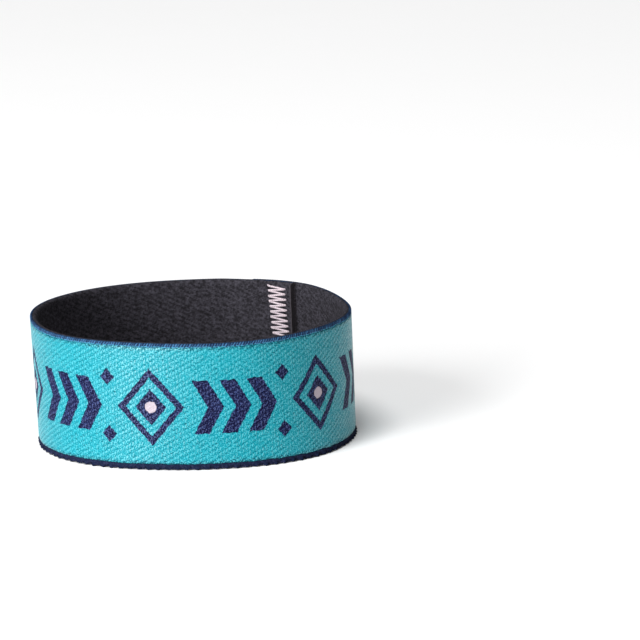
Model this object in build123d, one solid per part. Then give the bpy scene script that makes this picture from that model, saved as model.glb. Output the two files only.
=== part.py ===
"""Elastic wristband: a woven elastic strip, lapped into a closed loop that stands on one edge.

The strip runs anticlockwise seen from above. Its inner end lies under the sewn lap, its outer end over it.
Millimetres and degrees. +Z is up, the origin is under the middle of the loop, -Y is the front.
"""

import os
from math import cos, hypot, pi, radians, sin

from build123d import *

# Size of the loop
band_width = 25.0
loop_radius = 32.1
rim_lean = -0.6

# Build of the strip, from the skin outwards
back_thickness = 0.90
face_thickness = 0.45
weave_gap = 0.05

# Edges of the strip
upper_selvedge_height = 0.75
lower_selvedge_height = 1.20
edge_round = 0.20

# Sewn lap at the back right
seam_angle = 49.0
lap_length = 10.0
lap_gap = 0.10
ease_length = 7.0

# Slack shape of the loop: each row is one even set of lobes, taller at the rim or at the foot.
# The shares are of loop_radius, and a crest is the direction of one lobe of the set.
lobes = [
    dict(count=3, rim_share=0.015, rim_crest=55.0, foot_share=0.010, foot_crest=75.0),
    dict(count=4, rim_share=0.011, rim_crest=48.0, foot_share=0.017, foot_crest=46.0),
    dict(count=5, rim_share=0.009, rim_crest=-8.0, foot_share=0.004, foot_crest=-4.0),
    dict(count=6, rim_share=0.007, rim_crest=-12.0, foot_share=0.002, foot_crest=20.0),
]

# Spacing of the outline's points along the strip
lap_step = 2.0
loop_step = 7.0

# Worked out from the above
wall = back_thickness + weave_gap + face_thickness
middle_radius = loop_radius - wall / 2
strip_length = 2 * pi * middle_radius + lap_length


def eased(share):
    """Smooth step from 0 to 1."""
    share = min(max(share, 0.0), 1.0)
    return share * share * (3 - 2 * share)


def lap_offset(along):
    """How far the strip is pushed out at a place along it: in under the lap, out over it."""
    half = (wall + lap_gap) / 2
    leaving = 1 - eased((along - lap_length) / ease_length)
    arriving = eased((along - strip_length + lap_length + ease_length) / ease_length)
    return half * (arriving - leaving)


def outer_point(along, level):
    """Plan point of the outer face, at a length along the strip and a level from foot (0) to rim (1)."""
    turn = radians(seam_angle) + along / middle_radius
    radius = loop_radius
    for row in lobes:
        rim = row["rim_share"] * cos(row["count"] * (turn - radians(row["rim_crest"])))
        foot = row["foot_share"] * cos(row["count"] * (turn - radians(row["foot_crest"])))
        radius += loop_radius * (rim * level + foot * (1 - level))
    radius += lap_offset(along)
    return radius * cos(turn) + rim_lean * level, radius * sin(turn)


def wall_point(along, height, depth):
    """Point in the wall at a height above the foot and a depth inwards from the outer face."""
    level = height / band_width
    reach = lap_step / 100
    ahead = outer_point(along + reach, level)
    behind = outer_point(along - reach, level)
    run = (ahead[0] - behind[0], ahead[1] - behind[1])
    length = hypot(*run)
    here = outer_point(along, level)
    return here[0] - depth * run[1] / length, here[1] + depth * run[0] / length, height


def even_steps(start, end, step):
    """Lengths from start up to, not including, end, in even steps of about one step."""
    count = max(2, round((end - start) / step))
    return [start + (end - start) * i / count for i in range(count)]


def stations():
    """Lengths along the strip at which the outline is drawn, closer where it bends over the lap."""
    bend = lap_length + ease_length
    lap_start = even_steps(0, bend, lap_step)
    loop = even_steps(bend, strip_length - bend, loop_step)
    lap_end = even_steps(strip_length - bend, strip_length, lap_step)
    return lap_start + loop + lap_end + [strip_length]


def section(height, outside, inside):
    """Closed outline of the strip at one height, between two depths."""
    outer = [wall_point(along, height, outside) for along in stations()]
    inner = [wall_point(along, height, inside) for along in reversed(stations())]
    return Wire([Spline(outer), Line(outer[-1], inner[0]), Spline(inner), Line(inner[-1], outer[0])])


def strip(*levels):
    """Solid through level outlines from the foot up, each given as height, outside and inside depth."""
    return Solid.make_loft([section(*level) for level in levels], ruled=True)


def elastic_back():
    """Black elastic ply, from the lower selvedge to the rim, with its inner rim corner eased."""
    outside = face_thickness + weave_gap
    return strip(
        (lower_selvedge_height + weave_gap, outside, wall),
        (band_width - edge_round, outside, wall),
        (band_width, outside, wall - edge_round),
    )


def printed_face():
    """Smooth printed ply, between the two selvedges."""
    return strip(
        (lower_selvedge_height + weave_gap, 0, face_thickness),
        (band_width - upper_selvedge_height - weave_gap, 0, face_thickness),
    )


def upper_selvedge():
    """Edge of the face along the rim, with its outer corner eased."""
    return strip(
        (band_width - upper_selvedge_height, 0, face_thickness),
        (band_width - edge_round, 0, face_thickness),
        (band_width, edge_round, face_thickness),
    )


def lower_selvedge():
    """Knitted edge across the whole thickness, which the band stands on."""
    return strip(
        (0, edge_round, wall - edge_round),
        (edge_round, 0, wall),
        (lower_selvedge_height, 0, wall),
    )


pieces = {
    "elastic_back": elastic_back(),
    "printed_face": printed_face(),
    "upper_selvedge": upper_selvedge(),
    "lower_selvedge": lower_selvedge(),
}

footprint = Compound(list(pieces.values())).bounding_box().center()
os.makedirs("parts", exist_ok=True)
for name, solid in pieces.items():
    export_step(Pos(-footprint.X, -footprint.Y, 0) * solid, f"parts/{name}.step")
    print(name, round(solid.volume, 1), "mm3")
print("loop outside", 2 * loop_radius, "strip length", round(strip_length, 1))
print("footprint centre was at", round(footprint.X, 3), round(footprint.Y, 3))
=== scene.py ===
"""Elastic wristband: a woven elastic strip, lapped and sewn into a loop that stands on one edge.

Every piece is drawn flat first, with X along the strip, Y up its width and Z out of its printed side, and is
then wrapped round the loop. Lengths are metres. A depth is measured inwards from the strip's outer face.
Pattern coordinates, in the map named strip, are millimetres along the strip and up it, and the materials
are given their columns, repeats and pitches in millimetres too.
"""

from math import cos, exp, floor, hypot, pi, radians, sin, sqrt, tan

import bmesh
import bpy
from bpy.props import FloatProperty, FloatVectorProperty, IntProperty, PointerProperty
from mathutils import Matrix, Vector, noise


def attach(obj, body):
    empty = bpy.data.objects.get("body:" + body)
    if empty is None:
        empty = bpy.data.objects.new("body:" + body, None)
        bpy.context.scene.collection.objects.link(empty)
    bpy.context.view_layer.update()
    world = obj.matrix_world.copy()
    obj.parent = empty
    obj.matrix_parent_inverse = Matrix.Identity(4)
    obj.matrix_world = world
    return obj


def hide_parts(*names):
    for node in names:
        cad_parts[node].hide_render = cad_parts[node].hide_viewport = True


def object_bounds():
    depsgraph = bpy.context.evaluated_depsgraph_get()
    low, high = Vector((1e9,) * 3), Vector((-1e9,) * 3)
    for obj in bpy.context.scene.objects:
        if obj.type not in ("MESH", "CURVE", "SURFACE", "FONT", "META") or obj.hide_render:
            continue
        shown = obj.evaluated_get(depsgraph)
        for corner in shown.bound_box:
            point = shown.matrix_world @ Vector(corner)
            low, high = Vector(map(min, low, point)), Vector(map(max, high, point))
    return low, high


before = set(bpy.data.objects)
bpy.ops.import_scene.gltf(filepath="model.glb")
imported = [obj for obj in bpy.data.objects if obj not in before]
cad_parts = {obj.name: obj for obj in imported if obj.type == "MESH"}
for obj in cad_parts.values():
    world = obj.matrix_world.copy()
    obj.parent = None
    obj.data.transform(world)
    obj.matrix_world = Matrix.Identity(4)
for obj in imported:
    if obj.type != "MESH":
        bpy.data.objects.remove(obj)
cad_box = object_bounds()

bl_info = {
    "name": "Elastic Wristband",
    "version": (1, 0, 0),
    "blender": (4, 5, 0),
    "location": "View3D > Sidebar > Wristband",
    "description": "Builds a woven elastic wristband, its yarns and its sewn lap",
    "category": "Object",
}

MM = 0.001
MAP = "strip"

# Rows of the mesh in one repeat of each weave
FACE_ROWS = 6
BACK_ROWS = 4

# Slack shape of the loop. Each row is one even set of lobes: their count, then at the rim and at the foot
# their height, as a share of the loop's radius, and the direction of one of them in degrees.
LOBES = (
    (3, 0.015, 55.0, 0.010, 75.0),
    (4, 0.011, 48.0, 0.017, 46.0),
    (5, 0.009, -8.0, 0.004, -4.0),
    (6, 0.007, -12.0, 0.002, 20.0),
)


def size(name, description, millimetres):
    """Property for a length, given here in millimetres and held in metres."""
    return FloatProperty(
        name=name, description=description, default=millimetres * MM,
        precision=5, unit="LENGTH", subtype="DISTANCE",
    )


def amount(name, description, value, unit="NONE"):
    """Property for a number, plain unless it has a unit."""
    return FloatProperty(name=name, description=description, default=value, precision=3, unit=unit)


def turn(name, description, degrees):
    """Property for an angle, given here in degrees and held in radians."""
    return FloatProperty(
        name=name, description=description, default=radians(degrees),
        unit="ROTATION", subtype="ANGLE",
    )


def tint(name, description, value):
    """Property for a linear colour."""
    return FloatVectorProperty(
        name=name, description=description, default=value,
        size=3, min=0, max=1, subtype="COLOR",
    )


def place(name, description, millimetres):
    """Property for a point, given here in millimetres and held in metres."""
    return FloatVectorProperty(
        name=name, description=description, default=[value * MM for value in millimetres],
        size=3, unit="LENGTH", subtype="TRANSLATION",
    )


class StripSizes(bpy.types.PropertyGroup):
    """Sizes of the strip and of its loop."""

    band_width: FloatProperty(
        name="Band width", description="Height of the standing strip",
        default=cad_box[1].z, precision=5, unit="LENGTH", subtype="DISTANCE",
    )
    loop_radius: size("Loop radius", "Mean radius of the loop's outer face", 32.1)
    rim_lean: size("Rim lean", "How far the rim is shifted sideways over the foot", -0.6)
    back_thickness: size("Back", "Thickness of the black elastic ply", 0.90)
    face_thickness: size("Face", "Thickness of the printed ply", 0.45)
    weave_gap: size("Gap", "Gap between the plies", 0.05)
    upper_height: size("Upper selvedge", "Height of the edge along the rim", 0.75)
    lower_height: size("Lower selvedge", "Height of the knitted edge", 1.20)
    edge_round: size("Edge round", "Rounding of the strip's edges", 0.20)
    seam_angle: turn("Seam direction", "Where the inner end of the strip lies", 49.0)
    lap_length: size("Lap", "Length of the sewn lap", 10.0)
    lap_gap: size("Lap gap", "Gap between the two layers of the lap", 0.10)
    ease_length: size("Ease", "Length over which the strip bends to the lap", 7.0)
    ripple: size("Ripple", "How far the lines beside the selvedges wander", 0.13)
    end_sink: size("End sink", "How far the rim dips at the strip's outer end", 0.20)


class WeaveSizes(bpy.types.PropertyGroup):
    """Sizes of the two weaves and of the two selvedges."""

    face_column: size("Face end", "Width of one warp end of the printed twill", 0.629)
    face_repeat: size("Face repeat", "Height of one repeat of the printed twill", 1.034)
    face_ends: IntProperty(name="Face ends", description="Ends in a repeat of the printed twill", default=3)
    face_relief: size("Face relief", "Height of the printed twill's floats", 0.055)
    back_column: size("Back end", "Width of one end of the elastic ply", 0.49)
    back_repeat: size("Back repeat", "Height of one repeat of the elastic ply", 0.99)
    back_ends: IntProperty(name="Back ends", description="Ends in a repeat of the elastic ply", default=4)
    back_relief: size("Back relief", "Height of the elastic ply's floats", 0.10)
    tick_pitch: size("Tick pitch", "Spacing of the light yarn turns along the rim", 0.52)
    tick_slope: turn("Tick slope", "Slope of the light yarn turns", 60.0)
    tick_relief: size("Tick relief", "Height of the yarn turns", 0.06)
    knit_pitch: size("Knit pitch", "Spacing of the knitted edge's loops", 1.90)
    knit_relief: size("Knit relief", "Height of the knitted edge's loops", 0.56)


class FriezeSizes(bpy.types.PropertyGroup):
    """Sizes of the navy design printed on the face: a diamond and three chevrons in turn."""

    repeats: IntProperty(name="Repeats", description="Repeats of the design round the loop", default=6)
    diamond_place: size("Diamond place", "Distance of the diamond before the repeat's middle", 8.6)
    diamond_width: size("Diamond width", "Half the width of the diamond", 6.6)
    diamond_height: size("Diamond height", "Half the height of the diamond", 7.6)
    diamond_line: amount("Diamond line", "Line of the diamond, as a share of its size", 0.24)
    heart_width: size("Heart width", "Half the width of the full diamond inside it", 3.1)
    heart_height: size("Heart height", "Half the height of the full diamond inside it", 3.6)
    centre_radius: size("Centre radius", "Radius of the pale centre", 1.118)
    chevron_place: size("Chevron place", "Distance of the chevrons past the repeat's middle", 9.2)
    chevron_pitch: size("Chevron pitch", "Spacing of the chevrons", 5.2)
    chevron_width: size("Chevron width", "Width of one chevron along the strip", 3.02)
    chevron_height: size("Chevron height", "Half the height of the chevrons", 5.3)
    chevron_lean: amount("Chevron lean", "How far the chevrons lean back per length up", 0.55)
    spot_width: size("Spot width", "Half the width of the small diamonds", 1.5)
    spot_height: size("Spot height", "Half the height of the small diamonds", 1.7)
    spot_rise: size("Spot rise", "Height of the small diamonds over the middle", 5.6)


class StitchSizes(bpy.types.PropertyGroup):
    """Sizes of the zigzag row that joins the lap."""

    thread_radius: size("Thread radius", "Mean radius of the sewing thread", 0.19)
    twist_pitch: size("Twist", "Length of one turn of the thread's two plies", 0.95)
    pitch: size("Stitch pitch", "Spacing of the needle holes up one side", 1.09)
    width: size("Stitch width", "Width of the zigzag", 4.45)
    start: size("Stitch start", "Distance of the row's foot from the strip's inner end", 0.1)
    drift: amount("Stitch drift", "How far the row leans along the strip per length up", 0.06)
    bite: size("Bite", "Depth at which the thread enters the cloth", 0.35)
    foot_margin: size("Foot margin", "Height of the first needle hole", 0.7)
    rim_margin: size("Rim margin", "Least height left free at the rim", 0.4)
    uneven: size("Unevenness", "How far the needle holes stray", 0.14)


class Colours(bpy.types.PropertyGroup):
    """Linear colours of the yarns, the print and the stage."""

    ground: tint("Ground", "Printed ground", (0.0, 0.252, 0.310))
    # Painted shade in the hollows and grooves of the printed ground, and its darker random tone
    ground_shade: tint("Ground shade", "Printed ground between the floats", (0.0, 0.050, 0.077))
    # A painted highlight on the glinting fibres of the printed ground
    ground_painted_glint: tint("Ground glint", "Printed ground on its brightest fibres", (0.0, 0.325, 0.395))
    ink: tint("Ink", "Printed navy design", (0.0, 0.0, 0.018))
    # Random lighter fibres in the navy design, with a painted sheen on its floats
    ink_fleck_and_sheen: tint("Ink fleck", "Lighter floats in the navy design", (0.028, 0.047, 0.158))
    pale: tint("Pale", "Unprinted centres of the design", (0.40, 0.34, 0.385))
    black: tint("Black", "Elastic ply", (0.0090, 0.0083, 0.0105))
    black_fleck: tint("Black fleck", "Lighter floats of the elastic ply", (0.049, 0.046, 0.058))
    navy: tint("Navy", "Yarn of the lower selvedge", (0.004, 0.008, 0.026))
    navy_fleck: tint("Navy fleck", "Lighter fibres of the lower selvedge", (0.029, 0.031, 0.074))
    rim_navy: tint("Rim navy", "Yarn of the upper selvedge", (0.000, 0.005, 0.026))
    tick: tint("Tick", "Light yarn turns along the rim", (0.050, 0.155, 0.315))
    dash: tint("Dash", "Bright yarn turns at the foot of the rim's edge", (0.055, 0.250, 0.385))
    # Painted shade at the strip's two heat-cut ends
    cut_end_shade: tint("Cut ends", "Heat-cut ends of the strip", (0.045, 0.040, 0.046))
    thread: tint("Thread", "Sewing thread", (0.60, 0.52, 0.56))
    thread_shade: tint("Thread shade", "Grooves of the sewing thread", (0.28, 0.22, 0.25))
    floor: tint("Floor", "Floor", (0.93, 0.93, 0.93))


class Studio(bpy.types.PropertyGroup):
    """Camera, lights and floor."""

    camera_place: place("Camera", "Place of the camera", (0.635, -816.293, 194.846))
    camera_yaw: turn("Yaw", "Direction of the camera, from +Y towards +X", 1.744)
    camera_pitch: turn("Pitch", "How far the camera looks down", 11.937)
    camera_roll: turn("Roll", "Turn of the camera about its own axis", -1.4444)
    camera_lens: amount("Lens", "Focal length in millimetres", 236.25, unit="CAMERA")
    camera_sensor: amount("Sensor", "Sensor width in millimetres", 36.0, unit="CAMERA")
    key_place: place("Key light", "Middle of the raised lamp at the front left", (-770.0, -602.0, 540.0))
    key_width: size("Key width", "Width of the raised lamp", 600.0)
    key_height: size("Key height", "Height of the raised lamp", 400.0)
    key_power: amount("Key power", "Power of the raised lamp", 8.6, unit="POWER")
    low_place: place("Low light", "Middle of the low lamp at the front left", (-640.0, -877.0, 172.0))
    low_width: size("Low width", "Width of the low lamp", 420.0)
    low_height: size("Low height", "Height of the low lamp", 320.0)
    low_power: amount("Low power", "Power of the low lamp", 12.0, unit="POWER")
    top_turn: turn("Top light direction", "Side of the light from above, from the front", -30.0)
    top_rise: turn("Top light height", "How high the light from above stands", 72.0)
    top_spread: turn("Top light spread", "How wide the light from above is", 30.0)
    top_strength: amount("Top light strength", "Strength of the light from above", 2.3)
    sky: amount("Sky", "Brightness of the room", 0.18)
    floor_side: size("Floor side", "Side of the square floor", 6000.0)


class Wristband(bpy.types.PropertyGroup):
    """Everything that can be set on the wristband."""

    strip: PointerProperty(type=StripSizes)
    weave: PointerProperty(type=WeaveSizes)
    frieze: PointerProperty(type=FriezeSizes)
    stitch: PointerProperty(type=StitchSizes)
    colours: PointerProperty(type=Colours)
    studio: PointerProperty(type=Studio)


def eased(value):
    """Smooth step from 0 to 1."""
    value = min(max(value, 0.0), 1.0)
    return value * value * (3 - 2 * value)


class Loop:
    """The course of the strip round the loop."""

    def __init__(self, sizes):
        self.sizes = sizes
        self.width = sizes.band_width
        self.radius = sizes.loop_radius
        self.lap = sizes.lap_length
        self.ease = sizes.ease_length
        self.face = sizes.face_thickness
        self.inner = sizes.face_thickness + sizes.weave_gap
        self.wall = self.inner + sizes.back_thickness
        self.half_lap = (self.wall + sizes.lap_gap) / 2
        self.ply_foot = sizes.lower_height + sizes.weave_gap
        self.face_top = self.width - sizes.upper_height - sizes.weave_gap
        self.middle = self.radius - self.wall / 2
        self.length = 2 * pi * self.middle + self.lap
        steps = 720
        outline = [
            self.outer_point(self.length * step / steps, level)
            for step in range(steps + 1) for level in (0, 1)
        ]
        self.centre = [
            (min(point[axis] for point in outline) + max(point[axis] for point in outline)) / 2
            for axis in (0, 1)
        ]

    def arriving(self, along):
        """How far, from 0 to 1, the strip has bent out to lie over its other end."""
        return eased((along - self.length + self.lap + self.ease) / self.ease)

    def lap_offset(self, along):
        """How far the strip is pushed out at a place along it: in under the lap, out over it."""
        leaving = 1 - eased((along - self.lap) / self.ease)
        return self.half_lap * (self.arriving(along) - leaving)

    def outer_point(self, along, level):
        """Plan point of the outer face, at a level from the foot (0) to the rim (1)."""
        angle = self.sizes.seam_angle + along / self.middle
        radius = self.radius
        for count, rim_share, rim_crest, foot_share, foot_crest in LOBES:
            rim = rim_share * cos(count * (angle - radians(rim_crest)))
            foot = foot_share * cos(count * (angle - radians(foot_crest)))
            radius += self.radius * (rim * level + foot * (1 - level))
        radius += self.lap_offset(along)
        return radius * cos(angle) + self.sizes.rim_lean * level, radius * sin(angle)

    def uneven_height(self, along, height):
        """Height on the standing strip, whose selvedges wander a little and whose outer end dips."""
        long_wave = 1.4 * MM
        short_wave = 0.45 * MM
        for row, line, reach in (
            (1.0, self.sizes.lower_height, 1.1 * MM),
            (2.0, self.width - self.sizes.upper_height, 0.7 * MM),
        ):
            near = max(0.0, 1 - ((height - line) / reach) ** 2)
            jog = wander(along, row, long_wave) + 0.8 * wander(along, row + 5, short_wave)
            height += self.sizes.ripple * near * near * jog
        return height * (1 - self.sizes.end_sink * self.arriving(along) / self.width)

    def place(self, flat):
        """Where a point of the flat strip comes to lie on the standing loop."""
        along, depth = flat.x, -flat.z
        height = self.uneven_height(flat.x, flat.y)
        level = height / self.width
        reach = 0.02 * MM
        ahead = self.outer_point(along + reach, level)
        behind = self.outer_point(along - reach, level)
        run = (ahead[0] - behind[0], ahead[1] - behind[1])
        length = hypot(*run)
        here = self.outer_point(along, level)
        return Vector((
            here[0] - depth * run[1] / length - self.centre[0],
            here[1] + depth * run[0] / length - self.centre[1],
            height,
        ))


def wander(along, row, scale):
    """Smooth wandering between -1 and 1 along the strip, the same each time."""
    return noise.noise(Vector((along / scale, row * 7.3, 1.7)))


def parts_of(length, step):
    """How many even parts of about one step a length has."""
    return max(1, round(length / step))


def even_step(length, step):
    """The step nearest to the given one that divides the length evenly."""
    return length / parts_of(length, step)


def twill(along, height, column, repeat, ends, line):
    """Height of a warp twill's surface, from 0 in its hollows to 1 on its floats.

    line is the share that its slanted ridges take.
    """
    nudge = 1e-6
    number = floor(along / column + nudge)
    across = max(0.0, sin(pi * (along / column - number)))
    rise = height / repeat - number / ends
    hollow = max(0.0, cos(2 * pi * rise)) ** 2.5
    ridge = 0.5 - 0.5 * cos(2 * pi * (height / repeat - along / (column * ends)))
    depth = 0.55 + 0.45 * noise.cell(Vector((number + 0.5, floor(rise) + 0.5, 0.5)))

    # Rounded across each end, a little lower between the ridges and lowest in the hollows
    return 1 - 0.2 * (1 - across) - line * (1 - ridge) - 0.6 * hollow * (0.4 + 0.6 * across) * depth


def outline_normals(outline):
    """Outward unit normals, in height and depth, of a closed outline with its inside on the left."""
    normals = []
    for index, point in enumerate(outline):
        before = outline[index - 1]
        after = outline[(index + 1) % len(outline)]
        run = Vector((after[0] - before[0], after[1] - before[1])).normalized()
        normals.append((run.y, -run.x))
    return normals


def fold_strip(outline, loop, columns, lift):
    """Flat strip as a closed tube of quads, whose rows follow an outline.

    Each row of the outline is a height, a depth, a height in the pattern and the share of the lift that it
    takes. lift gives how far the surface stands out at a place along and up the strip.
    """
    fray = 0.1 * MM
    fray_wave = 1.1 * MM
    rows = len(outline)
    normals = outline_normals(outline)
    bm = bmesh.new()
    pattern = bm.loops.layers.uv.new(MAP)
    bmesh.ops.create_grid(bm, x_segments=columns, y_segments=rows, size=0.5, calc_uvs=True)
    for face in bm.faces:
        face.smooth = True
        for corner in face.loops:
            flat = corner[pattern].uv
            row = round(flat.y * rows)
            flat.x *= loop.length / MM
            flat.y = outline[min(row, rows - 1)][2] / MM
    for vert in bm.verts:
        step = round((vert.co.x + 0.5) * columns)
        row = round((vert.co.y + 0.5) * rows) % rows
        height, depth, _, part = outline[row]
        along = loop.length * step / columns
        if step in (0, columns):
            along += fray * wander(height, step, fray_wave)
        out = part * lift(along, height, depth) if part else 0.0
        vert.co = (along, height + normals[row][0] * out, -depth - normals[row][1] * out)
    bmesh.ops.remove_doubles(bm, verts=bm.verts, dist=0.001 * MM)
    rim = [edge for edge in bm.edges if edge.is_boundary]
    for edge in rim:
        edge.smooth = False
    bmesh.ops.holes_fill(bm, edges=rim, sides=0)
    return bm


def make_object(bm, name, material):
    """Object of a finished bmesh, linked into the scene."""
    mesh = bpy.data.meshes.new(name)
    bm.to_mesh(mesh)
    bm.free()
    mesh.materials.append(material)
    made = bpy.data.objects.new(name, mesh)
    bpy.context.scene.collection.objects.link(made)
    return made


def finish_piece(bm, loop, name, material):
    """Wraps a flat bmesh round the loop and makes it an object with its faces outwards."""
    for vert in bm.verts:
        vert.co = loop.place(vert.co)
    bmesh.ops.recalc_face_normals(bm, faces=bm.faces)
    return make_object(bm, name, material)


def stand_back(height, top, radius):
    """How far a rounded top edge stands back from its wall at a height."""
    rise = max(0.0, height - top + radius)
    return radius - sqrt(radius * radius - rise * rise)


def edge_outline(low, rise, rows):
    """Outline of a selvedge.

    Each row is a share of its rise, a depth and a height in the pattern in millimetres, and a share of lift.
    """
    return [(low + part * rise, depth * MM, up * MM, lift) for part, depth, up, lift in rows]


def rows_between(low, high, step):
    """Heights of even rows about one step apart, both ends included."""
    count = parts_of(high - low, step)
    return [low + (high - low) * row / count for row in range(count + 1)]


class Signal:
    """An output of a shader node. Arithmetic on it adds Math nodes, and node() adds any other."""

    def __init__(self, tree, socket=None):
        self.tree = tree
        self.socket = socket

    def node(self, kind, settings=None, sockets=None, output=0):
        """Adds a node: its settings first, then the values or links of its sockets."""
        made = self.tree.nodes.new(kind)
        for name, value in (settings or {}).items():
            setattr(made, name, value)
        for name, value in (sockets or {}).items():
            self.feed(made.inputs[name], value)
        return Signal(self.tree, made.outputs[output])

    def feed(self, socket, value):
        """Links a signal to a socket, or sets the socket to a value."""
        if isinstance(value, Signal):
            self.tree.links.new(value.socket, socket)
        else:
            socket.default_value = value

    def maths(self, operation, *values):
        """Adds one Math node."""
        return self.node("ShaderNodeMath", {"operation": operation}, dict(enumerate(values)))

    def __add__(self, other):
        return self.maths("ADD", self, other)

    def __radd__(self, other):
        return self.maths("ADD", other, self)

    def __sub__(self, other):
        return self.maths("SUBTRACT", self, other)

    def __rsub__(self, other):
        return self.maths("SUBTRACT", other, self)

    def __mul__(self, other):
        return self.maths("MULTIPLY", self, other)

    def __rmul__(self, other):
        return self.maths("MULTIPLY", other, self)

    def __truediv__(self, other):
        return self.maths("DIVIDE", self, other)

    def __rtruediv__(self, other):
        return self.maths("DIVIDE", other, self)

    def __abs__(self):
        return self.maths("ABSOLUTE", self)

    def __pow__(self, other):
        return self.maths("POWER", self, other)

    def floor(self):
        """The whole number below it."""
        return self.maths("FLOOR", self)

    def part(self):
        """What is left over that whole number."""
        return self.maths("FRACT", self)

    def sine(self):
        """Its sine, in radians."""
        return self.maths("SINE", self)

    def most(self, other):
        """The larger of two."""
        return self.maths("MAXIMUM", self, other)

    def step(self, low, high):
        """Smooth step from 0 at low to 1 at high."""
        return self.node(
            "ShaderNodeMapRange",
            {"interpolation_type": "SMOOTHSTEP"},
            {"Value": self, "From Min": low, "From Max": high},
        )

    def blend(self, low, high):
        """Colour mixed from low, at 0, to high, at 1, each of which is a signal or a red, green and blue."""
        ends = [end if isinstance(end, Signal) else (*end, 1.0) for end in (low, high)]
        return self.node(
            "ShaderNodeMix",
            {"data_type": "RGBA", "clamp_factor": True},
            {0: self, 6: ends[0], 7: ends[1]},
            output=2,
        )


class Finish:
    """One material while its nodes are laid out."""

    def __init__(self, name):
        self.material = bpy.data.materials.new(name)
        self.material.use_nodes = True
        tree = self.material.node_tree
        self.shader = tree.nodes["Principled BSDF"]
        self.sheet = Signal(tree)
        self.place = self.sheet.node("ShaderNodeUVMap", {"uv_map": MAP})
        self.along = self.sheet.node("ShaderNodeSeparateXYZ", sockets={"Vector": self.place})
        self.up = Signal(tree, self.along.socket.node.outputs[1])

    def vector(self, x, y, z=0.0):
        """Vector of three values or signals."""
        return self.sheet.node("ShaderNodeCombineXYZ", sockets={"X": x, "Y": y, "Z": z})

    def chance(self, x, y):
        """A number between 0 and 1 for each pair of whole numbers."""
        return self.sheet.node(
            "ShaderNodeTexWhiteNoise", {"noise_dimensions": "2D"}, {"Vector": self.vector(x, y)}
        )

    def cloud(self, vector, scale, detail=2.0):
        """Soft noise between 0 and 1."""
        return self.sheet.node(
            "ShaderNodeTexNoise", {"noise_dimensions": "3D"},
            {"Vector": vector, "Scale": scale, "Detail": detail, "Roughness": 0.6},
        )

    def bump(self, height, distance):
        """Normal bent by a height, of which 1 stands for a distance."""
        return self.sheet.node("ShaderNodeBump", sockets={"Height": height, "Distance": distance})

    def cut(self, colour, colours, loop):
        """A colour that goes dark at the strip's two heat-cut ends, as painted shade."""
        middle = loop.length / 2 / MM
        inside = middle - abs(self.along - middle)
        return inside.step(0.1, 0.4).blend(colours.cut_end_shade, colour)

    def set(self, **sockets):
        """Sets or links the shader's own sockets."""
        for name, value in sockets.items():
            self.sheet.feed(self.shader.inputs[name.replace("_", " ")], value)
        return self.material


def weave_cells(finish, column, repeat, ends):
    """Hollows, ridges, slanted floats and a chance for each float of a twill."""
    end = finish.along / column
    number = end.floor()
    across = (end.part() * pi).sine()
    rise = finish.up / repeat - number / ends
    hollow = (rise * (2 * pi) + pi / 2).sine().most(0.0) ** 2.5 * (across * 0.6 + 0.4)
    ridge = 0.5 - ((finish.up / repeat - end / ends) * (2 * pi) + pi / 2).sine() * 0.5
    slant = rise - (end.part() * 2 - 0.5) / ends
    floats = (0.5 - (slant * (2 * pi) + pi / 2).sine() * 0.5) ** 4 * across ** 4
    return hollow, ridge, floats, finish.chance(number, rise.floor())


def frieze(along, up, loop, sizes):
    """Masks of the navy design and of its pale centres, at a place along and up the strip in metres."""
    unit = loop.length / sizes.repeats
    local = (along / unit).part() * unit - unit / 2
    rise = abs(up - loop.width / 2)
    soft = 0.05 * MM

    across = abs(local + sizes.diamond_place)
    line = sizes.diamond_line / 2
    ring = abs(across / sizes.diamond_width + rise / sizes.diamond_height - (1 - line))
    outline = 1 - ring.step(line - 0.01, line + 0.015)
    heart = 1 - (across / sizes.heart_width + rise / sizes.heart_height).step(0.97, 1.03)
    pale = 1 - ((across * across + rise * rise) / sizes.centre_radius ** 2).step(0.88, 1.12)

    pitch, half = sizes.chevron_pitch, sizes.chevron_width / 2
    lean = abs(local + rise * sizes.chevron_lean - sizes.chevron_place)
    bars = 1 - abs(abs(lean - pitch / 2) - pitch / 2).step(half - soft, half + soft)
    chevrons = bars * (1 - rise.step(sizes.chevron_height - soft, sizes.chevron_height + soft))

    spots = (unit / 2 - abs(local)) / sizes.spot_width + abs(rise - sizes.spot_rise) / sizes.spot_height
    return outline.most(heart).most(chevrons).most(1 - spots.step(0.95, 1.05)), pale


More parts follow.
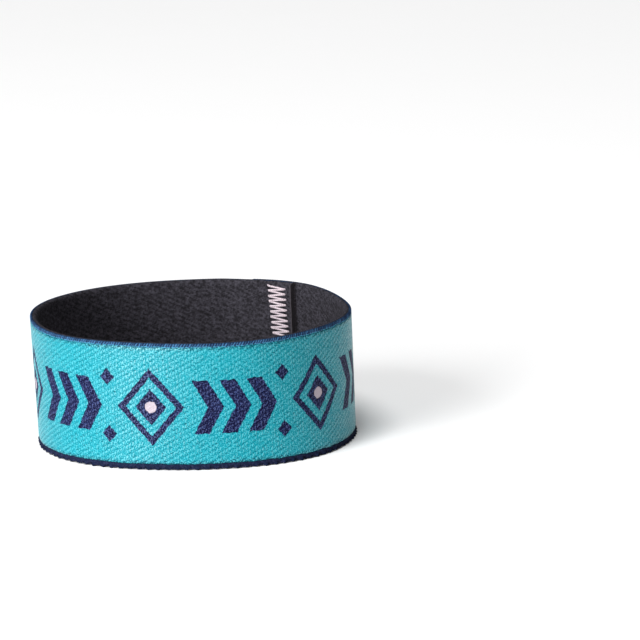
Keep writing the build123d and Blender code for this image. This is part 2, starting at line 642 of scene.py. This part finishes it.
def printed_satin(settings, loop, column, repeat):
    """Teal satin twill with a navy design printed into it."""
    finish = Finish("printed_satin")
    colours = settings.colours
    middle = (loop.face_top + loop.ply_foot) / 2 / MM
    half = (loop.face_top - loop.ply_foot) / 2 / MM
    hollow, ridge, floats, chance = weave_cells(finish, column, repeat, settings.weave.face_ends)

    # The design's outline follows the yarns, so it is a little ragged.
    rough = finish.cloud(finish.place, 2.6, 3.0)
    rough_up = finish.cloud(finish.vector(finish.up, finish.along, 4.0), 2.6, 3.0)
    ink, pale = frieze(
        (finish.along + (rough - 0.5) * 0.4 + (chance - 0.5) * 0.14) * MM,
        (finish.up + (rough_up - 0.5) * 0.4 + (ridge - 0.5) * 0.14) * MM,
        loop,
        settings.frieze,
    )

    grain = finish.cloud(finish.vector(finish.along * 1.3, finish.up, 2.0), 2.8)
    fibres = finish.cloud(finish.vector(finish.along * 1.2, finish.up * 1.1, 6.0), 4.2, 1.0)
    patch = finish.cloud(finish.place, 0.45)
    shaded_hollows = hollow * (chance * 1.5 - 0.2).most(0.1)
    dashes = floats * (chance * 2.2 + 0.2)

    # The ground is lighter on the floats, a painted highlight, and darker in the hollows, in the grooves
    # between the ridges and beside the selvedges, which is painted shade; the noises add a random tone.
    light = 0.78 + (grain - 0.5) * 0.25 + (fibres - 0.5) * 1.6 + (patch - 0.5) * 0.15
    edge = abs(finish.up - middle + (grain - 0.5) * 0.4).step(half - 0.9, half - 0.1)
    light = light + (dashes - 0.14) * 0.5 - shaded_hollows * 0.4 - (1 - ridge) ** 5 * 0.1 - edge * 0.45
    ground = light.step(-0.15, 0.95).blend(colours.ground_shade, colours.ground)

    # The brightest fibres glint, less where they are printed navy: a painted highlight in the ground's
    # colour, with a real coat over it.
    glint = (fibres * 0.84 + grain * 0.05 + dashes * 0.3).step(0.43, 0.62)
    ground = glint.blend(ground, colours.ground_painted_glint)
    # Lighter flecks in the navy: random fibre tone, with a painted sheen on the floats.
    fleck = 0.12 + (fibres - 0.5) * 2.8 + (grain - 0.5) * 1.3 + (dashes - 0.14) * 0.6
    navy = fleck.step(0.0, 0.6).blend(colours.ink, colours.ink_fleck_and_sheen)
    colour = pale.blend(ink.blend(ground, navy), colours.pale)
    relief = grain * 0.2 + fibres * 1.3 + dashes * 0.6 - shaded_hollows * 0.4
    return finish.set(
        Base_Color=finish.cut(colour, colours, loop),
        Roughness=0.45 - glint * 0.1 + ink * 0.4,
        Normal=finish.bump(relief, 0.12 * MM),
        Coat_Weight=glint * (1 - ink * 0.7),
        Coat_Roughness=0.4,
        Coat_IOR=1.82,
        Specular_IOR_Level=0.12,
        Anisotropic=0.85,
        Anisotropic_Rotation=0.25,
    )


def elastic_black(settings, loop, column, repeat):
    """Black ribbed elastic weave with faint lighter floats."""
    finish = Finish("elastic_black")
    colours = settings.colours
    hollow, ridge, _, chance = weave_cells(finish, column, repeat, settings.weave.back_ends)
    patch = finish.cloud(finish.place, 0.8)
    grain = finish.cloud(finish.place, 1.9)
    fibres = finish.cloud(finish.vector(finish.along, finish.up * 1.3, 5.0), 3.4)
    rows = (finish.up * (2 * pi / repeat)).sine()
    hollow_shade = hollow * chance * chance
    # Random lighter tone with faint ridges and rows, and painted shade in the hollows of the weave.
    light = 0.5 + (grain - 0.5) * 1.3 + (fibres - 0.5) * 1.1 + (patch - 0.5) * 1.3
    light = light - hollow_shade * 0.8 + (ridge - 0.5) * 0.05 + rows * 0.04
    colour = light.step(0.0, 1.1).blend(colours.black, colours.black_fleck)
    return finish.set(
        Base_Color=finish.cut(colour, colours, loop),
        Roughness=0.9 - grain * 0.1,
        Normal=finish.bump(grain * 1.2 + fibres * 0.6 - hollow_shade, 0.1 * MM),
        Specular_IOR_Level=0.1,
    )


def edge_ticks(settings, loop, pitch):
    """Navy edge yarn crossed by light yarn turns, with a row of light dashes at its foot."""
    finish = Finish("edge_ticks")
    colours = settings.colours
    wobble = finish.cloud(finish.place, 0.9) - 0.5
    grain = finish.cloud(finish.place, 4.0)
    slant = (finish.along - finish.up / tan(settings.weave.tick_slope)) / pitch + wobble * 1.2
    chance = finish.chance(slant.floor(), 3.0)
    rib = (slant.part() * pi).sine()
    tick = (rib + (grain - 0.5) * 0.4).step(0.66, 0.98) * (0.4 + chance * 0.6)
    tick = tick * (1 - finish.up.step(0.6, 0.9) * 0.8)
    broken = ((finish.along / pitch * 0.6 + wobble * 2).part() * pi).sine().step(0.25, 0.75)
    dashes = (1 - abs(finish.up - 0.03).step(0.09, 0.2)) * broken
    navy = (grain * 0.8 + chance * 0.3).step(0.5, 1.3).blend(colours.rim_navy, colours.tick)
    colour = dashes.blend(tick.blend(navy, colours.tick), colours.dash)
    return finish.set(
        Base_Color=finish.cut(colour, colours, loop),
        Roughness=0.8,
        Normal=finish.bump(rib * 0.8 + grain * 0.4, 0.06 * MM),
        Specular_IOR_Level=0.15,
    )


def edge_knit(settings, loop, pitch):
    """Navy knitted edge with faint violet fibres."""
    finish = Finish("edge_knit")
    colours = settings.colours
    grain = finish.cloud(finish.place, 2.6)
    fibres = finish.cloud(finish.vector(finish.along, finish.up * 2, 3.0), 5.0)
    bead = abs((finish.along * (pi / pitch) + finish.up * 0.4 + pi / 2).sine())
    # Random lighter fibres, with a painted highlight on the bump of each knitted loop.
    light = (grain - 0.5) * 1.6 + (fibres - 0.5) * 1.6 + bead * 0.3
    colour = light.step(0.05, 0.75).blend(colours.navy, colours.navy_fleck)
    return finish.set(
        Base_Color=finish.cut(colour, colours, loop),
        Roughness=0.9,
        Normal=finish.bump(bead * 0.4 + grain * 0.9 + fibres * 0.3, 0.1 * MM),
        Specular_IOR_Level=0.1,
    )


def sewing_thread(settings):
    """White two-ply polyester thread. Its map holds the length along the thread and the turn round it."""
    finish = Finish("sewing_thread")
    colours = settings.colours
    turns = finish.along / (settings.stitch.twist_pitch / MM)
    ply = abs(((turns + finish.up) * (2 * pi)).sine())
    fibres = finish.cloud(finish.vector(finish.along * 1.5, (finish.up + turns) * 9.0), 3.0)
    worn = finish.cloud(finish.vector(finish.along, 0.0), 0.6)
    # Painted shade in the grooves between the two plies, with a random worn tone along the thread.
    shade = (ply * 0.55 + fibres * 0.45 + (worn - 0.5) * 1.4).step(0.05, 0.95)
    return finish.set(
        Base_Color=shade.blend(colours.thread_shade, colours.thread),
        Roughness=0.75,
        Normal=finish.bump(ply * 0.5 + fibres * 0.5, 0.05 * MM),
        Sheen_Weight=0.15,
        Sheen_Roughness=0.5,
        Specular_IOR_Level=0.3,
    )


def pale_floor(colours):
    """Plain matt floor with a faint unevenness."""
    finish = Finish("pale_floor")
    place = finish.sheet.node("ShaderNodeTexCoord", output=3)
    shade = finish.cloud(place, 14.0, 3.0)
    low = tuple(value * 0.985 for value in colours.floor)
    return finish.set(Base_Color=shade.blend(low, colours.floor), Roughness=0.9 - shade * 0.05)


def hang(piece, *nodes, slot):
    """Seats a finished piece on the body in place of its CAD nodes."""
    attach(piece, "root")
    if nodes:
        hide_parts(*nodes)


class WRISTBAND_OT_face_ply(bpy.types.Operator):
    """Weaves the printed ply on the outside of the loop"""

    bl_idname = "wristband.face_ply"
    bl_label = "Printed Face"

    def execute(self, context):
        settings = context.scene.wristband
        loop = Loop(settings.strip)
        weave = settings.weave
        low = loop.ply_foot
        high = loop.face_top
        middle = (low + high) / 2
        bevel = 0.06 * MM
        ridge_share, sunk = 0.04, 0.6
        column = even_step(loop.length, weave.face_column)
        repeat = FACE_ROWS * even_step(high - low, weave.face_repeat / FACE_ROWS)
        rows = rows_between(low, high, repeat / FACE_ROWS)
        outline = [(low, loop.face, low, 0.0), (low, bevel, low, 0.0)]
        outline += [(height, 0.0, height, 1.0) for height in rows[1:-1]]
        outline += [(high, bevel, high, 0.0), (high, loop.face, high, 0.0)]
        outline += [(middle, loop.face, middle, 0.0)]

        def lift(along, height, depth):
            """The twill's floats, a little proud of the strip's outer face."""
            surface = twill(along, height, column, repeat, weave.face_ends, ridge_share)
            return weave.face_relief * (surface - sunk)

        bm = fold_strip(outline, loop, 2 * parts_of(loop.length, weave.face_column), lift)
        material = printed_satin(settings, loop, column / MM, repeat / MM)
        hang(finish_piece(bm, loop, "face_weave", material), "printed_face", slot="printed_satin")
        return {"FINISHED"}


class WRISTBAND_OT_back_ply(bpy.types.Operator):
    """Weaves the black elastic ply on the inside of the loop"""

    bl_idname = "wristband.back_ply"
    bl_label = "Elastic Back"

    def execute(self, context):
        settings = context.scene.wristband
        loop = Loop(settings.strip)
        weave = settings.weave
        stitch = settings.stitch
        low = loop.ply_foot
        top = loop.width
        high = top - settings.strip.edge_round
        middle = (low + high) / 2
        rim_round = 0.65 * MM
        ridge_share, sunk = 0.08, 0.7
        dent, dent_reach = 0.08 * MM, 0.35 * MM
        swell, swell_reach = 0.06 * MM, 0.7 * MM
        column = even_step(loop.length, weave.back_column)
        repeat = BACK_ROWS * even_step(high - low, weave.back_repeat / BACK_ROWS)
        rows = rows_between(low, high, repeat / BACK_ROWS)
        outline = [(low, loop.wall - 0.1 * MM, low, 0.0), (low, loop.inner, low, 0.0)]
        outline += [
            (middle, loop.inner, middle, 0.0),
            (top - 0.05 * MM, loop.inner, top + 0.8 * MM, 0.2),
            (top, loop.inner + 0.2 * MM, top + 0.5 * MM, 0.6),
        ]
        for height in [top - 0.01 * MM, top - 0.08 * MM, *reversed(rows[1:])]:
            outline.append((height, loop.wall - stand_back(height, top, rim_round), height, 1.0))

        def lift(along, height, depth):
            """The weave's floats, pressed in at the needle holes and out over the other end."""
            surface = twill(along, height, column, repeat, weave.back_ends, ridge_share)
            relief = weave.back_relief * (surface - sunk)
            start = stitch.start + stitch.drift * height
            if along < start + stitch.width + 2 * MM:
                for side in (start, start + stitch.width):
                    relief -= dent * exp(-((along - side) / dent_reach) ** 2)
            return relief + swell * exp(-((along - loop.lap) / swell_reach) ** 2)

        bm = fold_strip(outline, loop, 2 * parts_of(loop.length, weave.back_column), lift)
        material = elastic_black(settings, loop, column / MM, repeat / MM)
        hang(finish_piece(bm, loop, "back_weave", material), "elastic_back", slot="elastic_black")
        return {"FINISHED"}


class WRISTBAND_OT_upper_selvedge(bpy.types.Operator):
    """Turns the edge yarns along the rim"""

    bl_idname = "wristband.upper_selvedge"
    bl_label = "Upper Selvedge"

    def execute(self, context):
        settings = context.scene.wristband
        loop = Loop(settings.strip)
        weave = settings.weave
        rise = settings.strip.upper_height
        low = loop.width - rise
        face = loop.face / MM
        sunk = 0.75
        outline = edge_outline(low, rise, (
            (0.3, face, 0.0, 0.0),
            (0.0, face, 0.0, 0.0),
            (0.0, 0.05, 0.0, 0.0),
            (0.06, 0.0, 0.05, 0.7),
            (0.25, 0.0, 0.2, 1.0),
            (0.45, 0.0, 0.35, 1.0),
            (0.65, 0.0, 0.5, 1.0),
            (0.82, 0.03, 0.63, 1.0),
            (0.94, 0.1, 0.76, 1.0),
            (1.0, 0.22, 0.9, 0.8),
            (1.0, 0.35, 1.03, 0.6),
            (1.0, face, 1.13, 0.0),
        ))
        pitch = even_step(loop.length, weave.tick_pitch)

        def lift(along, height, depth):
            """Slanted yarn turns."""
            slant = (along - (height - low) / tan(weave.tick_slope)) / pitch
            return weave.tick_relief * (0.5 - 0.5 * cos(2 * pi * slant) - sunk)

        bm = fold_strip(outline, loop, 4 * parts_of(loop.length, weave.tick_pitch), lift)
        material = edge_ticks(settings, loop, pitch / MM)
        hang(finish_piece(bm, loop, "rim_selvedge", material), "upper_selvedge", slot="edge_navy")
        return {"FINISHED"}


class WRISTBAND_OT_lower_selvedge(bpy.types.Operator):
    """Knits the edge that the band stands on"""

    bl_idname = "wristband.lower_selvedge"
    bl_label = "Lower Selvedge"

    def execute(self, context):
        settings = context.scene.wristband
        loop = Loop(settings.strip)
        weave = settings.weave
        top = settings.strip.lower_height
        wall = loop.wall / MM
        outline = edge_outline(0.0, top, (
            (1.0, 0.5 * wall, 1.2, 0.0),
            (1.0, wall - 0.05, 1.2, 0.2),
            (0.8, wall, 0.96, 0.4),
            (0.5, wall, 0.6, 0.6),
            (0.25, wall - 0.03, 0.3, 0.7),
            (0.08, wall - 0.15, 0.12, 0.7),
            (0.0, wall - 0.4, 0.0, 0.7),
            (0.0, 0.5 * wall, -0.3, 0.7),
            (0.0, 0.1, 0.0, 0.8),
            (0.03, -0.24, 0.12, 1.2),
            (0.14, -0.35, 0.24, 1.3),
            (0.35, -0.25, 0.48, 1.0),
            (0.58, -0.1, 0.72, 0.6),
            (0.8, 0.0, 0.96, 0.3),
            (1.0, 0.05, 1.2, 0.2),
        ))
        pitch = even_step(loop.length, weave.knit_pitch)
        slant = 0.12
        uneven = 0.2
        rough, rough_wave = 0.3, 0.4 * MM

        def lift(along, height, depth):
            """Loops of the knitted edge, which never stand below the foot."""
            bead = (along + slant * pitch * (height / top)) / pitch
            large = 1 - uneven + uneven * noise.cell(Vector((floor(bead) + 0.5, 8.5, 0.5)))
            crest = sin(pi * (bead - floor(bead))) ** 2 * large
            fibres = rough * wander(along, depth / MM + height / MM, rough_wave)
            return -weave.knit_relief * max(0.0, 1 - crest + fibres)

        bm = fold_strip(outline, loop, 14 * parts_of(loop.length, weave.knit_pitch), lift)
        material = edge_knit(settings, loop, pitch / MM)
        hang(finish_piece(bm, loop, "foot_selvedge", material), "lower_selvedge", slot="edge_navy")
        return {"FINISHED"}


def zigzag_course(loop, stitch, surface, side):
    """Points of the thread on the flat strip: up the row from side to side, into the cloth at each hole."""
    steps = 26
    dive_length = 0.55 * MM
    sway, sway_wave = 0.08 * MM, 0.7 * MM
    end_margin = 0.1 * MM
    count = floor(2 * (loop.width - stitch.foot_margin - stitch.rim_margin) / stitch.pitch)
    holes = []
    for number in range(count + 1):
        height = stitch.foot_margin + stitch.pitch / 2 * number
        along = stitch.start + stitch.drift * height + stitch.width * (number % 2)
        stray = stitch.uneven * noise.cell(Vector((number + 0.5, 3.5, 0.5)))
        lower = 0.4 * stitch.uneven * noise.cell(Vector((number + 0.5, 6.5, 0.5)))
        holes.append(Vector((max(along + stray, end_margin), height + lower, 0.0)))
    points = []
    for number, (here, after) in enumerate(zip(holes, holes[1:])):
        for step in range(steps):
            way = step / steps
            ends = eased(min(way, 1 - way) * stitch.width / dive_length)
            point = here.lerp(after, way)
            point.y += sway * wander(number * MM, 5.0, sway_wave) * sin(pi * way)
            point.z = surface + side * (-stitch.bite + (stitch.bite + 0.75 * stitch.thread_radius) * ends)
            points.append(point)
    return points


def ring_spots(points, index, run, stitch, sides):
    """Places of one ring of the thread, square to its course and fuller at its two plies."""
    ply_swell = 0.2
    ahead = points[min(index + 1, len(points) - 1)]
    behind = points[max(index - 1, 0)]
    tangent = (ahead - behind).normalized()
    across = tangent.cross(Vector((0, 0, 1))).normalized()
    up = across.cross(tangent).normalized()
    twist = 2 * pi * run / stitch.twist_pitch
    spots = []
    for side in range(sides):
        angle = 2 * pi * side / sides
        reach = stitch.thread_radius * (1 + ply_swell * cos(2 * (angle - twist)))
        spots.append(points[index] + across * (reach * cos(angle)) + up * (reach * sin(angle)))
    return spots


def sweep_thread(points, stitch, sides=10):
    """Twisted two-ply thread swept along points, as rings that are each extruded from the last."""
    bm = bmesh.new()
    pattern = bm.loops.layers.uv.new(MAP)
    made = bmesh.ops.create_circle(bm, segments=sides, radius=stitch.thread_radius, cap_ends=True)
    slots = {vert: slot for slot, vert in enumerate(made["verts"])}
    edges = list({edge for vert in slots for edge in vert.link_edges})
    for vert, spot in zip(slots, ring_spots(points, 0, 0.0, stitch, sides)):
        vert.co = spot
    run = 0.0
    for index in range(1, len(points)):
        last_run = run
        run += (points[index] - points[index - 1]).length
        made = bmesh.ops.extrude_edge_only(bm, edges=edges)["geom"]
        fresh = [item for item in made if isinstance(item, bmesh.types.BMVert)]
        edges = [
            item for item in made
            if isinstance(item, bmesh.types.BMEdge) and all(vert in fresh for vert in item.verts)
        ]
        before = slots
        slots = {
            vert: before[edge.other_vert(vert)]
            for vert in fresh for edge in vert.link_edges if edge.other_vert(vert) in before
        }
        spots = ring_spots(points, index, run, stitch, sides)
        for vert, slot in slots.items():
            vert.co = spots[slot]
        for face in {face for edge in edges for face in edge.link_faces}:
            face.smooth = True
            corners = [slots.get(corner.vert, before.get(corner.vert)) for corner in face.loops]
            for corner, slot in zip(face.loops, corners):
                if slot == 0 and sides - 1 in corners:
                    slot = sides
                length = run if corner.vert in slots else last_run
                corner[pattern].uv = (length / MM, slot / sides)
    bmesh.ops.contextual_create(bm, geom=edges)
    return bm


class WRISTBAND_OT_zigzag(bpy.types.Operator):
    """Sews the lap with a zigzag row, whose two threads show inside and outside"""

    bl_idname = "wristband.zigzag"
    bl_label = "Zigzag Row"

    def execute(self, context):
        settings = context.scene.wristband
        loop = Loop(settings.strip)
        stitch = settings.stitch
        material = sewing_thread(settings)
        for name, surface, side, shift in (
            ("zigzag_inside", -loop.wall, -1, 0.0),
            ("zigzag_outside", 0.0, 1, loop.length - loop.lap),
        ):
            course = zigzag_course(loop, stitch, surface, side)
            bm = sweep_thread([point + Vector((shift, 0, 0)) for point in course], stitch)
            hang(finish_piece(bm, loop, name, material), slot="sewing_thread")
        return {"FINISHED"}


def lamp(name, kind, strength, place, target):
    """Lamp at a place that looks at a target."""
    data = bpy.data.lights.new(name, kind)
    data.energy = strength
    light = bpy.data.objects.new(name, data)
    light.location = place
    light.rotation_euler = (target - place).to_track_quat("-Z", "Y").to_euler()
    bpy.context.scene.collection.objects.link(light)
    return data


def set_lamps(studio, target):
    """Two soft lamps at the front left, the wide light from above and the room's own light."""
    for name, spot, width, height, power in (
        ("key", studio.key_place, studio.key_width, studio.key_height, studio.key_power),
        ("low", studio.low_place, studio.low_width, studio.low_height, studio.low_power),
    ):
        soft = lamp(name, "AREA", power, Vector(spot), target)
        soft.shape = "RECTANGLE"
        soft.size = width
        soft.size_y = height
    side = Vector((sin(studio.top_turn), -cos(studio.top_turn), tan(studio.top_rise)))
    lamp("top", "SUN", studio.top_strength, target + side, target).angle = studio.top_spread
    world = bpy.data.worlds.new("room")
    world.use_nodes = True
    background = world.node_tree.nodes["Background"]
    background.inputs["Color"].default_value = (1.0, 1.0, 1.0, 1.0)
    background.inputs["Strength"].default_value = studio.sky
    bpy.context.scene.world = world


def set_camera(studio):
    """The camera, at the photo's viewing angle, turned by its yaw, pitch and roll."""
    yaw, pitch, roll = studio.camera_yaw, studio.camera_pitch, studio.camera_roll
    forward = Vector((sin(yaw) * cos(pitch), cos(yaw) * cos(pitch), -sin(pitch)))
    level = Vector((cos(yaw), -sin(yaw), 0))
    above = level.cross(forward)
    right = cos(roll) * level + sin(roll) * above
    up = cos(roll) * above - sin(roll) * level
    turned = Matrix((right, up, -forward)).transposed().to_4x4()
    data = bpy.data.cameras.new("camera")
    data.lens = studio.camera_lens
    data.sensor_width = studio.camera_sensor
    data.clip_end = studio.floor_side
    camera = bpy.data.objects.new("camera", data)
    camera.matrix_world = Matrix.Translation(studio.camera_place) @ turned
    bpy.context.scene.collection.objects.link(camera)
    bpy.context.scene.camera = camera


class WRISTBAND_OT_stage(bpy.types.Operator):
    """Lays the pale floor and sets the lamps and the camera"""

    bl_idname = "wristband.stage"
    bl_label = "Stage"

    def execute(self, context):
        settings = context.scene.wristband
        studio = settings.studio
        bm = bmesh.new()
        bmesh.ops.create_grid(bm, x_segments=1, y_segments=1, size=studio.floor_side / 2)
        floor_object = make_object(bm, "floor", pale_floor(settings.colours))
        set_lamps(studio, Vector((0, 0, settings.strip.band_width / 2)))
        set_camera(studio)
        context.scene.view_settings.view_transform = "Standard"
        return {"FINISHED"}


OPERATORS = (
    WRISTBAND_OT_back_ply,
    WRISTBAND_OT_face_ply,
    WRISTBAND_OT_upper_selvedge,
    WRISTBAND_OT_lower_selvedge,
    WRISTBAND_OT_zigzag,
    WRISTBAND_OT_stage,
)


class WRISTBAND_PT_panel(bpy.types.Panel):
    """Lists the wristband's operators and sizes"""

    bl_label = "Wristband"
    bl_idname = "WRISTBAND_PT_panel"
    bl_space_type = "VIEW_3D"
    bl_region_type = "UI"
    bl_category = "Wristband"

    def draw(self, context):
        for operator in OPERATORS:
            self.layout.operator(operator.bl_idname)
        settings = context.scene.wristband
        for part in ("strip", "weave", "frieze", "stitch", "colours", "studio"):
            group = getattr(settings, part)
            box = self.layout.box()
            for name in group.bl_rna.properties.keys():
                if name not in ("rna_type", "name"):
                    box.prop(group, name)


CLASSES = (
    StripSizes, WeaveSizes, FriezeSizes, StitchSizes, Colours, Studio, Wristband,
    *OPERATORS, WRISTBAND_PT_panel,
)


def register():
    """Registers the classes and hangs the settings on the scene."""
    for item in CLASSES:
        bpy.utils.register_class(item)
    bpy.types.Scene.wristband = PointerProperty(type=Wristband)


def unregister():
    """Takes the settings and the classes away again."""
    del bpy.types.Scene.wristband
    for item in reversed(CLASSES):
        bpy.utils.unregister_class(item)


def main():
    """Builds every piece and the stage."""
    register()
    bpy.ops.wristband.back_ply()
    bpy.ops.wristband.face_ply()
    bpy.ops.wristband.upper_selvedge()
    bpy.ops.wristband.lower_selvedge()
    bpy.ops.wristband.zigzag()
    bpy.ops.wristband.stage()


if __name__ == "__main__":
    main()
